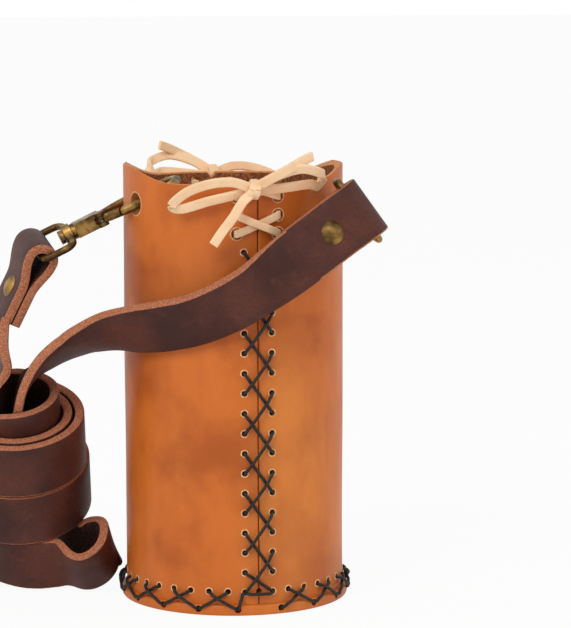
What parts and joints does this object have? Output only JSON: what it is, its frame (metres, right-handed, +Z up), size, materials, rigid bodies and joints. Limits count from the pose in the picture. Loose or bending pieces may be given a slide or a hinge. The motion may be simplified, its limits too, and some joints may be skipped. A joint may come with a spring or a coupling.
{
  "type": "bottle carrier",
  "caption": "Laced leather sleeve with an open top that holds a bottle, carried by a long leather strap clipped on with two swivel snap hooks.",
  "frame": {"origin": "middle of the base disc's underside, on the sleeve's axis, where the sleeve stands", "axes": "+Z up along the sleeve, -Y towards the front with its bow, -X towards the coiled strap"},
  "size_m": [0.16, 0.1048, 0.165],
  "materials": {
    "tan_leather": "smooth saddle leather, slightly waxy",
    "dark_leather": "dark brown strap leather, raw edges",
    "black_cord": "black waxed cord",
    "pale_lace": "pale flat leather lace",
    "old_brass": "aged brass, worn light at the edges",
    "spring_steel": "plain spring wire"
  },
  "bodies": {
    "sleeve": {"left_panel": "tan_leather", "right_panel": "tan_leather", "base_disc": "tan_leather", "front_seam_cord": "black_cord", "back_seam_cord": "black_cord", "right_base_cord": "black_cord", "left_base_cord": "black_cord", "front_lace": "pale_lace", "back_lace": "pale_lace", "strap_front_run": "dark_leather", "strap_coil": "dark_leather", "strap_left_run": "dark_leather"},
    "left_hook": {"left_hook_body": "old_brass", "left_gate_pin": "old_brass", "left_gate_spring": "spring_steel"},
    "left_gate": {"left_gate": "old_brass"},
    "left_eye": {"left_eye": "old_brass", "strap_left_end": "dark_leather", "left_rivet_cap": "old_brass", "left_rivet_post": "old_brass"},
    "right_hook": {"right_hook_body": "old_brass", "right_gate_pin": "old_brass", "right_gate_spring": "spring_steel"},
    "right_gate": {"right_gate": "old_brass"},
    "right_eye": {"right_eye": "old_brass", "strap_right_end": "dark_leather", "right_rivet_cap": "old_brass", "right_rivet_post": "old_brass"}
  },
  "joints": [
    {"name": "left_hook_swing", "type": "hinge", "parent": "sleeve", "child": "left_hook", "pos_m": [-0.03631, -0.0025, 0.1455], "axis": [-0.0698, 0.9976, 0], "range_deg": [-4, 30], "deforming": ["strap_left_run"]},
    {"name": "left_gate_press", "type": "hinge", "parent": "left_hook", "child": "left_gate", "pos_m": [-0.04841, -0.00771, 0.13958], "axis": [-0.4295, -0.03, 0.9026], "range_deg": [0, 20], "stiffness_Nm_per_rad": 0.01, "springref_deg": -20.05},
    {"name": "left_eye_swivel", "type": "hinge", "parent": "left_hook", "child": "left_eye", "pos_m": [-0.05918, -0.00414, 0.13457], "axis": [-0.9004, -0.063, -0.4305], "range_deg": [-20, 20], "deforming": ["strap_left_run"]},
    {"name": "right_hook_swing", "type": "hinge", "parent": "sleeve", "child": "right_hook", "pos_m": [0.03631, -0.00254, 0.1455], "axis": [0.0698, 0.9976, 0], "range_deg": [-8, 4], "deforming": ["strap_front_run"]},
    {"name": "right_gate_press", "type": "hinge", "parent": "right_hook", "child": "right_gate", "pos_m": [0.04496, -0.01813, 0.1412], "axis": [0.455, 0.0073, 0.8905], "range_deg": [0, 20], "stiffness_Nm_per_rad": 0.01, "springref_deg": -20.05},
    {"name": "right_eye_swivel", "type": "hinge", "parent": "right_hook", "child": "right_eye", "pos_m": [0.04052, -0.02947, 0.14357], "axis": [-0.0523, -0.998, 0.0349], "range_deg": [-20, 5], "deforming": ["strap_front_run"]}
  ]
}
